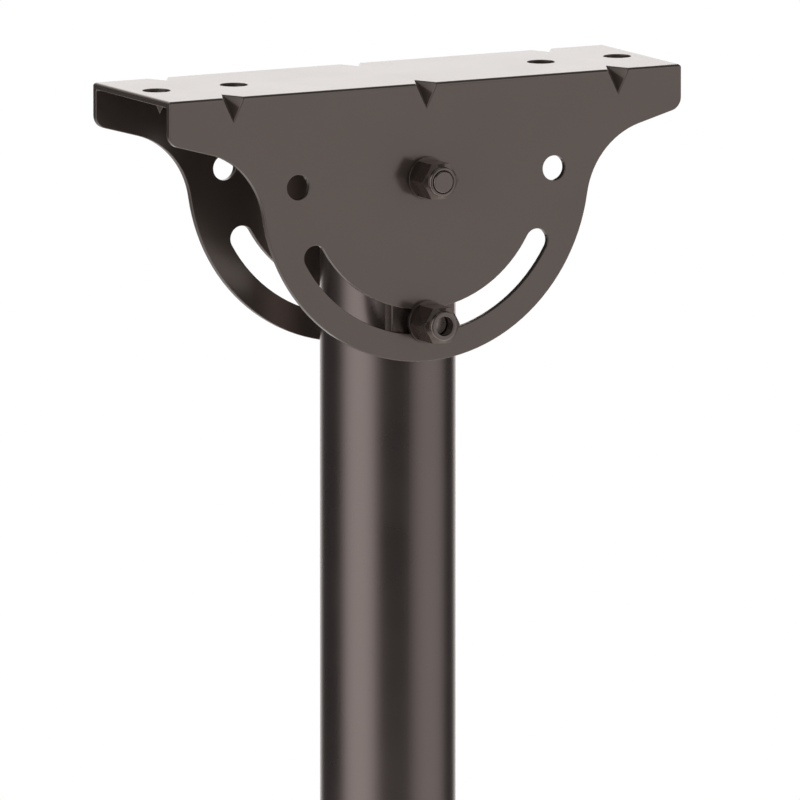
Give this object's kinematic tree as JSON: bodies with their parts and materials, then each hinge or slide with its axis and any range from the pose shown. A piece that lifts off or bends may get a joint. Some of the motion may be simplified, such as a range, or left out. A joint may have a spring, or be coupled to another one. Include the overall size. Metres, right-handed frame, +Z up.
{
  "type": "tilting ceiling mount with drop pole",
  "caption": "Folded steel ceiling bracket with arc slots in its cheeks, holding a round drop pole that tilts on a pivot bolt and is clamped by a lock bolt.",
  "frame": {"origin": "centre of the web's upper face, which lies against the ceiling", "axes": "+X along the bracket, -Y towards the side with the nuts, +Z up into the ceiling"},
  "size_m": [0.213, 0.0811, 0.415],
  "materials": {
    "bracket_coat": "satin brown powder coat",
    "pole_coat": "satin brown powder coat",
    "dark_fastener": "dark brown coated steel",
    "spacer_plastic": "satin moulded",
    "plain_steel": "zinc plated"
  },
  "bodies": {
    "bracket": {"ceiling_bracket": "bracket_coat", "pivot_bolt": "dark_fastener", "pivot_nut": "dark_fastener", "pivot_washer_front": "dark_fastener", "pivot_washer_rear": "dark_fastener"},
    "drop_pole": {"pole": "pole_coat", "pivot_saddle_front": "spacer_plastic", "pivot_saddle_rear": "spacer_plastic", "pivot_sleeve": "plain_steel", "lock_bolt": "dark_fastener", "lock_nut": "dark_fastener", "lock_washer_front": "dark_fastener", "lock_washer_rear": "dark_fastener", "lock_saddle_front": "spacer_plastic", "lock_saddle_rear": "spacer_plastic", "lock_sleeve": "plain_steel"}
  },
  "joints": [
    {"name": "pole_tilt", "type": "hinge", "parent": "bracket", "child": "drop_pole", "pos_m": [0, 0, -0.035], "axis": [0, 1, 0], "range_deg": [-60, 60]}
  ]
}
